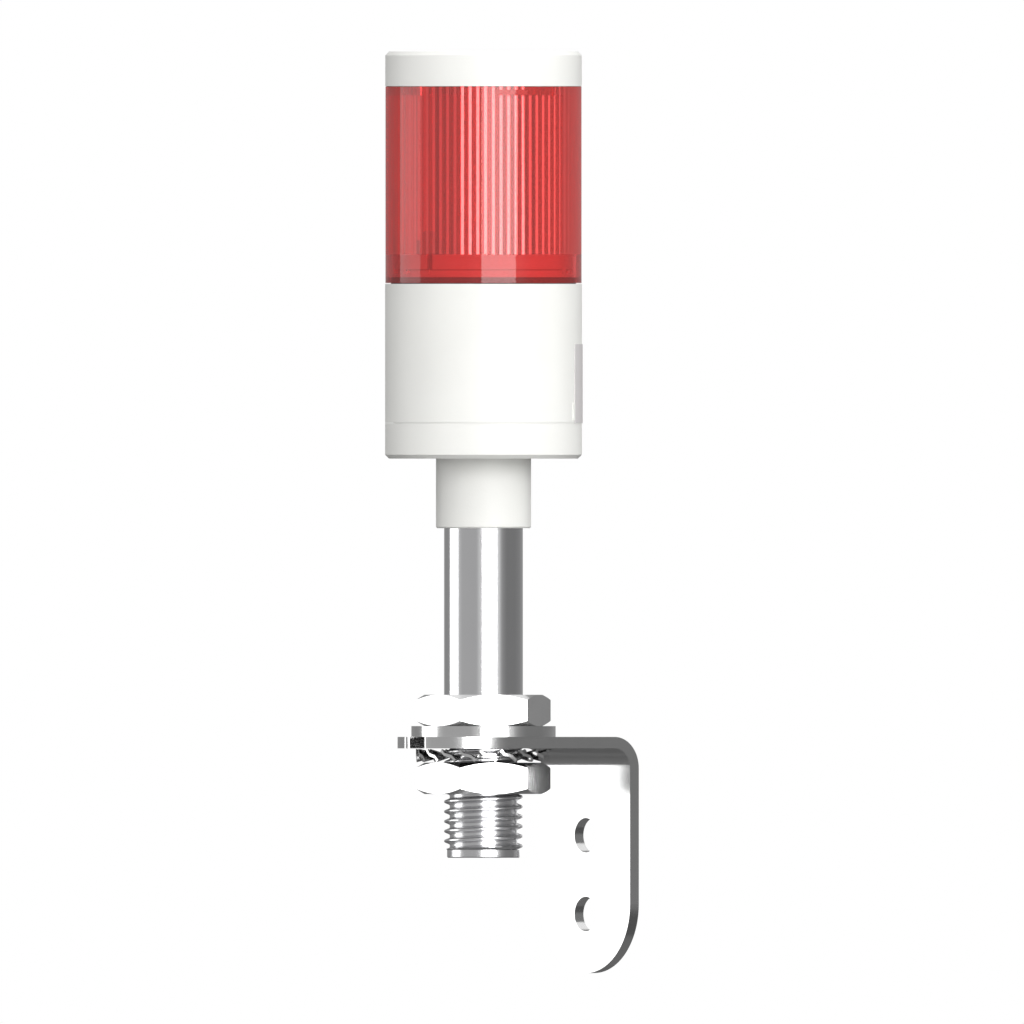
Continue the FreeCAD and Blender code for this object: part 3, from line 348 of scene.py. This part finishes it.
def make_plastic(name, light, dark, roughness, grain=0.00002, gloss=0.5, seat_painted_shade=False):
    """Moulded plastic, fine-grained and slightly uneven, on the seat with painted shade in its slots and
    key.
    """
    material, tree, place = new_material(name)
    patches = spread(tree, noise(tree, place, PATCHES), 0.0, 1.0)
    colour = mix_colour(tree, patches, dark, light)
    if seat_painted_shade:
        radius, level = radius_and_level(tree, place)
        # Painted shade: the seat's slots and key, set back from its face, are coloured darker
        painted_shade = both(
            tree, below(tree, radius, SEAT_FACE_R - SET_BACK), above(tree, level, SET_BACK_FOOT))
        colour = mix_colour(tree, painted_shade, colour, SEAT_PAINTED_SHADE)
    rough = spread(
        tree, noise(tree, place, SHEEN), roughness - PLASTIC_STRAY, roughness + PLASTIC_STRAY)
    normal = bump(tree, noise(tree, place, GRAIN, GRAIN_DETAIL), grain)
    surface = add_node(
        tree, "ShaderNodeBsdfPrincipled", Base_Color=colour, Roughness=rough, Normal=normal,
        Specular_IOR_Level=gloss)
    add_node(tree, "ShaderNodeOutputMaterial", Surface=surface.outputs[0])
    return material


def make_metal(name, light, dark, roughness, stretch=(1, 1, 1), thread_roughness=None):
    """Bright metal with fine marks, pressed together along an axis where stretch is more than 1."""
    material, tree, place = new_material(name)
    stretched = add_node(tree, "ShaderNodeMapping", Vector=place, Scale=stretch).outputs[0]
    marks = noise(tree, stretched, MARKS, MARK_DETAIL)
    patches = spread(tree, noise(tree, place, METAL_PATCHES), 0.0, 1.0)
    colour = mix_colour(tree, patches, dark, light)
    rough = spread(tree, marks, roughness * METAL_SMOOTHEST, roughness * METAL_ROUGHEST)
    if thread_roughness:
        level = add_node(tree, "ShaderNodeSeparateXYZ", in0=place).outputs["Z"]
        rough = mix_value(tree, below(tree, level, THREAD_END), rough, thread_roughness)
    surface = add_node(
        tree, "ShaderNodeBsdfPrincipled", Base_Color=colour, Metallic=1.0, Roughness=rough,
        Normal=bump(tree, marks, MARK_DEPTH))
    add_node(tree, "ShaderNodeOutputMaterial", Surface=surface.outputs[0])
    return material


# Lens colours: what passes its outside, seen square and along the edge, and its ribbed and plain
# inside, what the ribs' flanks mirror, what light keeps that falls through it, and its haze
LENS_OUTER = (0.78, 0.265, 0.265, 1.0)
LENS_OUTER_EDGE = (0.45, 0.16, 0.16, 1.0)
LENS_INNER = (0.72, 0.23, 0.22, 1.0)
LENS_PLAIN_INNER = (0.99, 0.25, 0.24, 1.0)
LENS_FLANK = (0.32, 0.13, 0.13, 1.0)
LENS_SHADE = (0.84, 0.57, 0.57, 1.0)
LENS_HAZE = (0.95, 0.16, 0.15, 1.0)
LENS_IOR = 1.49
LENS_ROUGHNESS = 0.02

# Where Layer Weight's facing value turns from square to edge
EDGE_FROM = 0.3
EDGE_TO = 0.65

# Shares of mirror on the crests, mirror taken off the plain inside, and haze on the outside and hooks
CREST_MIRROR = 0.7
PLAIN_MIRROR_LESS = 0.08
HAZE = 0.12
RIBBED_HAZE = 0.22
RIBBED_EDGE_HAZE = 0.37
HOOK_HAZE = 0.5

# Radii that part the lens's outside, rib crests and hooks, and the level of the ribs' lower ends
OUTER_FACE_R = 0.0290
CREST_FACE_R = 0.02758
HOOK_FACE_R = 0.02744
RIB_FOOT = 0.18395


def make_lens_material():
    """Clear red plastic: bends light, mirrors on the rib crests, and lets lamps reach the inside."""
    material, tree, place = new_material("lens_red")
    radius, level = radius_and_level(tree, place)
    outside = above(tree, radius, OUTER_FACE_R)
    inside = below(tree, radius, OUTER_FACE_R)
    ribbed = above(tree, level, RIB_FOOT)
    plain_inside = both(tree, inside, below(tree, level, RIB_FOOT))
    crest = both(tree, below(tree, radius, CREST_FACE_R), ribbed)
    flank = both(tree, above(tree, radius, CREST_FACE_R), inside)
    hook = both(tree, plain_inside, below(tree, radius, HOOK_FACE_R))
    facing = add_node(tree, "ShaderNodeLayerWeight", Blend=0.5).outputs["Facing"]
    edge = map_range(
        tree, facing, EDGE_FROM, EDGE_TO, 0.0, 1.0, interpolation_type="SMOOTHSTEP")

    outer_tint = mix_colour(tree, edge, LENS_OUTER, LENS_OUTER_EDGE)
    inner_tint = mix_colour(tree, plain_inside, LENS_INNER, LENS_PLAIN_INNER)
    tint = mix_colour(tree, outside, inner_tint, outer_tint)
    bent = add_node(tree, "ShaderNodeBsdfRefraction", Color=tint, Roughness=0.0, IOR=LENS_IOR)

    mirror_tint = mix_colour(tree, flank, grey(1.0), LENS_FLANK)
    mirror = add_node(tree, "ShaderNodeBsdfGlossy", Color=mirror_tint, Roughness=LENS_ROUGHNESS)
    fresnel = add_node(tree, "ShaderNodeFresnel", IOR=LENS_IOR).outputs[0]
    less = maths(tree, "MULTIPLY", plain_inside, PLAIN_MIRROR_LESS)
    fresnel = maths(tree, "SUBTRACT", fresnel, less, clamp=True)
    from_within = add_node(tree, "ShaderNodeNewGeometry").outputs["Backfacing"]
    crest_share = maths(tree, "MULTIPLY", both(tree, crest, from_within), CREST_MIRROR)
    glass = mix_shader(tree, maths(tree, "MAXIMUM", fresnel, crest_share), bent, mirror)

    haze = add_node(tree, "ShaderNodeBsdfDiffuse", Color=LENS_HAZE)
    ribbed_share = mix_value(tree, edge, RIBBED_HAZE, RIBBED_EDGE_HAZE)
    haze_share = mix_value(tree, both(tree, outside, ribbed), HAZE, ribbed_share)
    haze_share = mix_value(tree, hook, haze_share, HOOK_HAZE)
    body = mix_shader(tree, haze_share, glass, haze)

    clear = add_node(tree, "ShaderNodeBsdfTransparent", Color=LENS_SHADE)
    path = add_node(tree, "ShaderNodeLightPath")
    dull = maths(tree, "MAXIMUM", path.outputs["Is Shadow Ray"], path.outputs["Is Diffuse Ray"])
    surface = mix_shader(tree, dull, body, clear)
    add_node(tree, "ShaderNodeOutputMaterial", Surface=surface.outputs[0])
    return material


# White plastic of body, cap and seat
WHITE = {
    "light": (0.88, 0.88, 0.85, 1), "dark": (0.85, 0.85, 0.82, 1), "roughness": 0.45, "gloss": 0.25,
}


def make_materials():
    """One material for each of the record's slots."""
    return {
        "white_plastic": make_plastic("plastic_white", **WHITE),
        "black_rubber": make_plastic(
            "rubber_black", light=(0.03, 0.03, 0.03, 1), dark=(0.02, 0.02, 0.02, 1), roughness=0.7,
            gloss=0.2),
        "black_plastic": make_plastic(
            "plastic_black", light=(0.04, 0.04, 0.04, 1), dark=(0.03, 0.03, 0.03, 1),
            roughness=0.45),
        "green_plastic": make_plastic(
            "plastic_green", light=(0.10, 0.36, 0.16, 1), dark=(0.07, 0.30, 0.12, 1),
            roughness=0.45),
        "green_board": make_plastic(
            "board_green", light=(0.03, 0.20, 0.09, 1), dark=(0.02, 0.15, 0.07, 1),
            roughness=0.30),
        "white_board": make_plastic(
            "board_white", light=(0.80, 0.80, 0.78, 1), dark=(0.76, 0.76, 0.74, 1),
            roughness=0.35),
        "label_film": make_plastic(
            "label_film", light=(0.69, 0.665, 0.665, 1), dark=(0.65, 0.63, 0.63, 1), roughness=0.45,
            grain=0.000008),
        "diode": make_plastic(
            "diode_body", light=(0.85, 0.78, 0.40, 1), dark=(0.80, 0.72, 0.34, 1),
            roughness=0.25),
        "tube_metal": make_metal(
            "metal_tube", light=(0.80, 0.80, 0.81, 1), dark=(0.78, 0.78, 0.79, 1), roughness=0.12,
            stretch=(1, 1, 14), thread_roughness=0.22),
        "nut_metal": make_metal(
            "metal_nut", light=(0.79, 0.79, 0.79, 1), dark=(0.74, 0.74, 0.74, 1), roughness=0.14),
        "bracket_metal": make_metal(
            "metal_sheet", light=(0.78, 0.78, 0.78, 1), dark=(0.74, 0.74, 0.74, 1), roughness=0.18,
            stretch=(12, 1, 1)),
        "can_metal": make_metal(
            "metal_can", light=(0.70, 0.70, 0.72, 1), dark=(0.66, 0.66, 0.68, 1), roughness=0.25),
        "red_clear": make_lens_material(),
    }


# Corners sharper than this many degrees stay sharp or get a small rounding
CORNER = 35
THREAD_CORNER = 25
FINE_EDGE = 0.00004
EDGE_SEGMENTS = 2
SOFT_EDGES = {
    "base": FINE_EDGE, "top_cap": 0.00015, "bracket": 0.0003,
    "lower_nut": 0.0002, "upper_nut": 0.0002, "flat_washer": 0.0002,
}


def smooth(piece, degrees=CORNER):
    """Smooth shading with sharp edges kept, without moving a point."""
    mesh = piece.data
    mesh.polygons.foreach_set("use_smooth", [True] * len(mesh.polygons))
    mesh.set_sharp_from_angle(angle=math.radians(degrees))


def soften(piece, width):
    """Small rounded edges."""
    bevel = piece.modifiers.new("edges", "BEVEL")
    bevel.width = width
    bevel.segments = EDGE_SEGMENTS
    bevel.limit_method = "ANGLE"
    bevel.angle_limit = math.radians(CORNER)
    bevel.harden_normals = True


# Thread M24 x 3: half of its flats at crest and root, its levels on the tube, and its fade at the top
PITCH = 0.003
CREST_R = 0.012
ROOT_R = 0.0103
CREST_HALF = PITCH / 16
ROOT_HALF = PITCH / 8
CREST_LEVEL = 0.00018
THREAD_START = 0.0024
THREAD_END = 0.0470
RUN_OUT = 0.0025

# Rest of the tube: plain end below the thread, bore, bevels of the lower end, ring above the thread
LEAD_IN_R = 0.0111
BORE_R = 0.0085
END_EDGE = 0.0003
PLAIN_RISE = 0.0005

# Mesh of the tube: points round it and rows to a pitch, how near two points are to be one,
# and how far above the plain end the thread's points stay
COLUMNS = 120
ROWS_PER_PITCH = 16
MERGE = 2e-6
FOOT_GAP = 1e-7


def thread_radius(turn, level):
    """Radius of the thread at a turn about Z, in turns from +X, and a level."""
    phase = ((level - CREST_LEVEL) / PITCH - turn) % 1.0
    away = min(phase, 1.0 - phase) * PITCH
    slope = (away - CREST_HALF) / (PITCH / 2 - CREST_HALF - ROOT_HALF)
    slope = min(max(slope, 0.0), 1.0)
    depth = (CREST_R - ROOT_R) * slope * slope * (3 - 2 * slope)
    depth *= min(1.0, (THREAD_END - level) / RUN_OUT)
    return min(CREST_R - depth, LEAD_IN_R + (level - THREAD_START))


def make_tube(material):
    """The tube with its thread: rows of points that follow the thread, and plain ends."""
    bottom, top = 0.0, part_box("support_tube")[1].z
    mesh = bpy.data.meshes.new("threaded_tube")
    build = bmesh.new()

    def point(turn, radius, level):
        angle = 2 * math.pi * turn
        return build.verts.new((math.cos(angle) * radius, math.sin(angle) * radius, level))

    def ring(radius, level):
        return [point(column / COLUMNS, radius, level) for column in range(COLUMNS)]

    def bridge(rings):
        for low, high in zip(rings, rings[1:]):
            for column in range(COLUMNS):
                beside = (column + 1) % COLUMNS
                build.faces.new((low[column], low[beside], high[beside], high[column]))

    plain = [
        ring(BORE_R + END_EDGE, bottom), ring(LEAD_IN_R - END_EDGE, bottom),
        ring(LEAD_IN_R, bottom + END_EDGE), ring(LEAD_IN_R, THREAD_START),
    ]
    first_crest = math.floor(THREAD_START / PITCH) - 1
    last_crest = math.ceil(THREAD_END / PITCH) + 1
    half = ROWS_PER_PITCH // 2
    rows = []
    for crest in range(first_crest, last_crest + 1):
        for step in range(-half, half):
            level = CREST_LEVEL + (crest + step / ROWS_PER_PITCH) * PITCH
            row = []
            for column in range(COLUMNS):
                turn = column / COLUMNS
                height = min(max(level + turn * PITCH, THREAD_START + FOOT_GAP), THREAD_END)
                row.append(point(turn, thread_radius(turn, height), height))
            rows.append(row)
    for row in range(len(rows) - 1):
        for column in range(COLUMNS):
            # After one turn a row meets the row one pitch further up
            beside, beside_row = column + 1, row
            if beside == COLUMNS:
                beside, beside_row = 0, row + ROWS_PER_PITCH
            if beside_row + 1 < len(rows):
                build.faces.new((
                    rows[row][column], rows[beside_row][beside],
                    rows[beside_row + 1][beside], rows[row + 1][column]))
    upper = [
        ring(CREST_R, THREAD_END), ring(CREST_R, THREAD_END + PLAIN_RISE), ring(CREST_R, top),
        ring(BORE_R, top), ring(BORE_R, bottom + END_EDGE),
    ]
    bridge(plain)
    bridge(upper)
    bridge([upper[-1], plain[0]])
    bmesh.ops.remove_doubles(build, verts=build.verts[:], dist=MERGE)
    bmesh.ops.dissolve_degenerate(build, edges=build.edges[:], dist=MERGE)
    bmesh.ops.recalc_face_normals(build, faces=build.faces[:])
    build.to_mesh(mesh)
    build.free()
    tube = bpy.data.objects.new("threaded_tube", mesh)
    scene.collection.objects.link(tube)
    mesh.materials.append(material)
    smooth(tube, THREAD_CORNER)
    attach(tube, "lamp")
    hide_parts("support_tube")


# What the refitted pieces change: the open seam's width, and the label's ends
SEAM = 0.0003
FINE_SEAM = 0.00008
LABEL_FOOT_DROP = 0.0008
LABEL_TOP_DROP = 0.00045
SAME_LEVEL = 0.00001


def refit(node_name, piece_name, slot, drops):
    """A copy of a node that takes its place, with the points at the given levels brought down."""
    mesh = nodes[node_name].data.copy()
    mesh.name = piece_name
    for vertex in mesh.vertices:
        for level, drop in drops:
            if abs(vertex.co.z - level) < SAME_LEVEL:
                vertex.co.z -= drop
                break
    mesh.materials.clear()
    mesh.materials.append(materials[slot])
    piece = bpy.data.objects.new(piece_name, mesh)
    scene.collection.objects.link(piece)
    smooth(piece)
    soften(piece, FINE_EDGE)
    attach(piece, "lamp")
    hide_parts(node_name)


make_camera()
make_world()
make_cards()
make_floor()
for panel_values in PANELS:
    add_panel(*panel_values)
scene.view_settings.view_transform = "Standard"
# Shadow rays pass through many faces of the lens
scene.cycles.transparent_max_bounces = 48

materials = make_materials()
# The seat's material paints shade into its slots and key
seat_material = make_plastic("plastic_seat", seat_painted_shade=True, **WHITE)
for subpart in frame["record"]["subparts"]:
    name = subpart["node"]
    node = nodes[name]
    finish = seat_material if name == "lens_seat" else materials[subpart["material_slot"]]
    node.data.materials.clear()
    node.data.materials.append(finish)
    smooth(node)
    if name in SOFT_EDGES:
        soften(node, SOFT_EDGES[name])
make_tube(materials["tube_metal"])
shell_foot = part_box("body_shell")[0].z
refit("body_shell", "shell_on_base", "white_plastic", [(shell_foot, SEAM - FINE_SEAM)])
label_foot, label_top = (corner.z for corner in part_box("rating_label"))
refit(
    "rating_label", "label_over_seam", "label_film",
    [(label_foot, LABEL_FOOT_DROP), (label_top, LABEL_TOP_DROP)])
